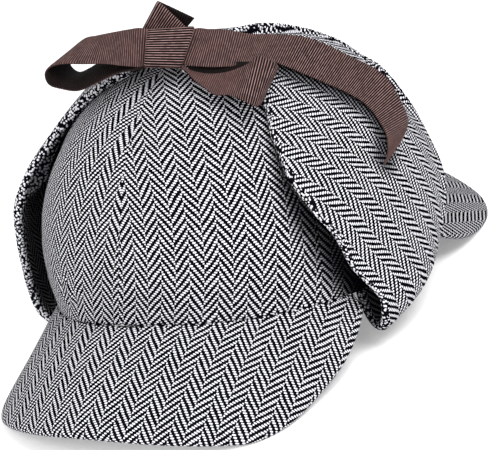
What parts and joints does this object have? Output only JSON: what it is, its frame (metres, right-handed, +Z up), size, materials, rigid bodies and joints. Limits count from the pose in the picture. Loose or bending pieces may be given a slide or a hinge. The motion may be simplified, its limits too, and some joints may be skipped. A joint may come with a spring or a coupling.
{
  "type": "deerstalker hat",
  "caption": "Herringbone tweed deerstalker: round gored crown, peaks front and back, ear flaps folded up over the crown and tied on top with a brown ribbon bow.",
  "frame": {"origin": "on the floor, under the middle of the crown", "axes": "+Z up, -Y towards the front peak, +X towards the wearer's left"},
  "size_m": [0.2146, 0.315, 0.1738],
  "materials": {
    "herringbone_cloth": "black and white herringbone wool tweed, matt",
    "brown_ribbon": "ribbed grosgrain ribbon with a low sheen"
  },
  "bodies": {
    "root": {"crown_panel_1": "herringbone_cloth", "crown_panel_2": "herringbone_cloth", "crown_panel_3": "herringbone_cloth", "crown_panel_4": "herringbone_cloth", "crown_panel_5": "herringbone_cloth", "crown_panel_6": "herringbone_cloth", "front_peak": "herringbone_cloth", "back_peak": "herringbone_cloth", "left_ear_flap": "herringbone_cloth", "right_ear_flap": "herringbone_cloth", "ribbon_tie_left": "brown_ribbon", "ribbon_tie_right": "brown_ribbon", "ribbon_knot": "brown_ribbon", "ribbon_loop_right": "brown_ribbon", "ribbon_loop_left": "brown_ribbon", "ribbon_tail_long": "brown_ribbon", "ribbon_tail_short": "brown_ribbon"}
  },
  "joints": []
}
